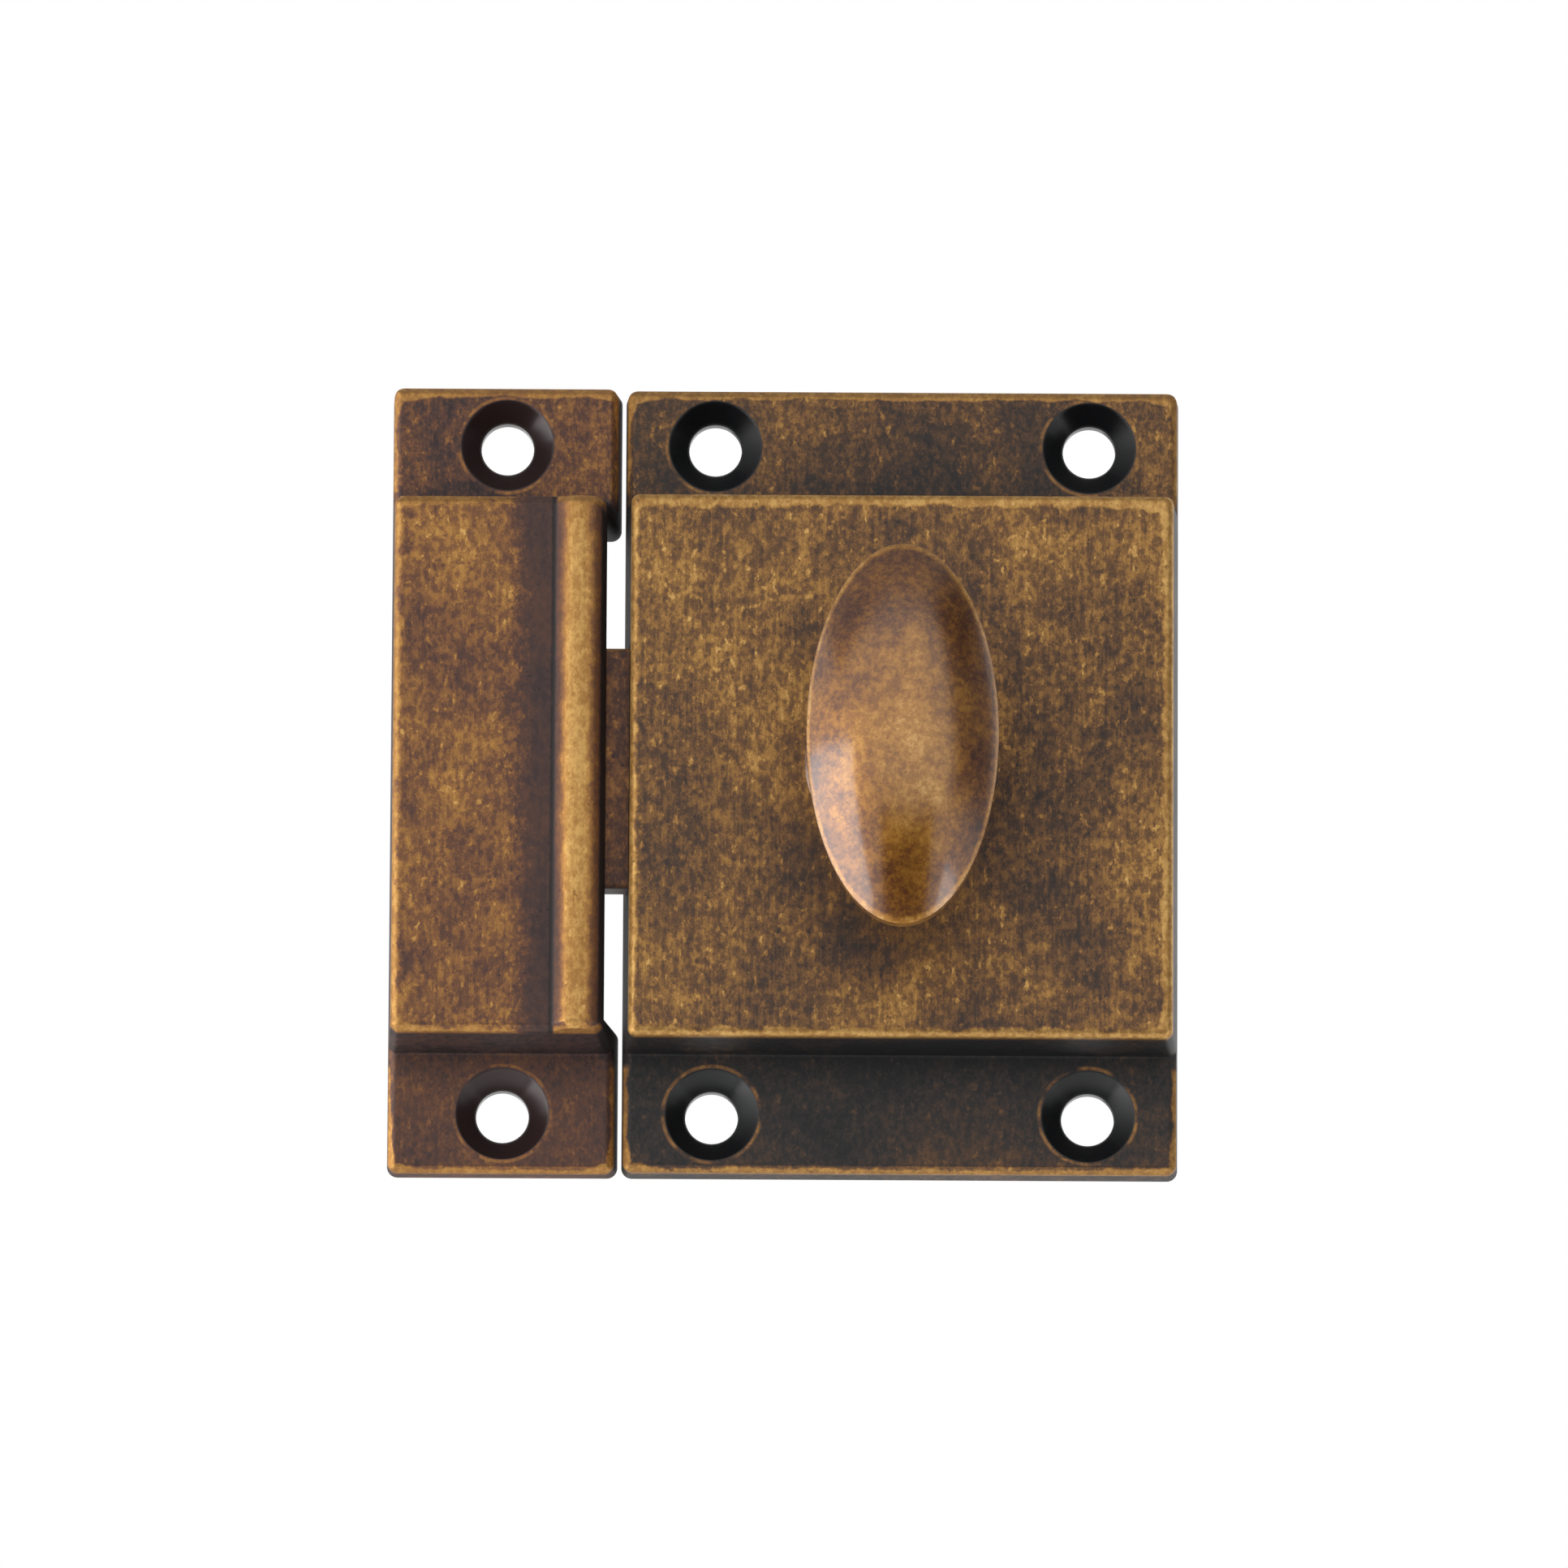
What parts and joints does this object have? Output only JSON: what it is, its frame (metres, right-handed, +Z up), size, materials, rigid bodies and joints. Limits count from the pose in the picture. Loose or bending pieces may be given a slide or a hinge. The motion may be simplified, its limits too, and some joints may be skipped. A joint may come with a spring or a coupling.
{
  "type": "cupboard catch latch",
  "caption": "Rectangular cupboard turn latch: an oval knob on a flanged case draws a sprung bolt out of the ribbed, hooded strike beside it.",
  "frame": {"origin": "on the knob's axis, in the plane of the backs of both castings", "axes": "+X along the bolt, away from the strike; +Y into the door; +Z up the door"},
  "size_m": [0.0597, 0.0241, 0.0606],
  "materials": {
    "case_brass": "dark mottled patina, brushed, with worn bright edges",
    "strike_brass": "brown mottled patina with a worn bright rib",
    "knob_brass": "smooth mottled patina, half gloss",
    "bolt_brass": "dull brown patina with a worn top edge",
    "steel": "plain machined",
    "plate_steel": "plain sheet, slightly dulled",
    "spring_steel": "blued spring strip"
  },
  "bodies": {
    "case": {"case": "case_brass", "back_plate": "plate_steel", "back_plate_screws": "steel", "strike": "strike_brass", "bolt_spring": "spring_steel"},
    "knob": {"turn_knob": "knob_brass", "cam": "steel", "cam_washer": "steel", "cam_screw": "steel"},
    "bolt": {"latch_bolt": "bolt_brass"}
  },
  "joints": [
    {"name": "knob_turn", "type": "hinge", "parent": "case", "child": "knob", "pos_m": [0, 0, 0], "axis": [0, 1, 0], "range_deg": [0, 50]},
    {"name": "bolt_slide", "type": "slide", "parent": "case", "child": "bolt", "axis": [1, 0, 0], "range_m": [0, 0.0047], "stiffness_N_per_m": 40, "springref_m": -0.005, "deforming": ["bolt_spring"]}
  ],
  "couplings": [
    {"joint": "knob_turn", "follows": "bolt_slide", "rad_per_m": 185.67}
  ]
}
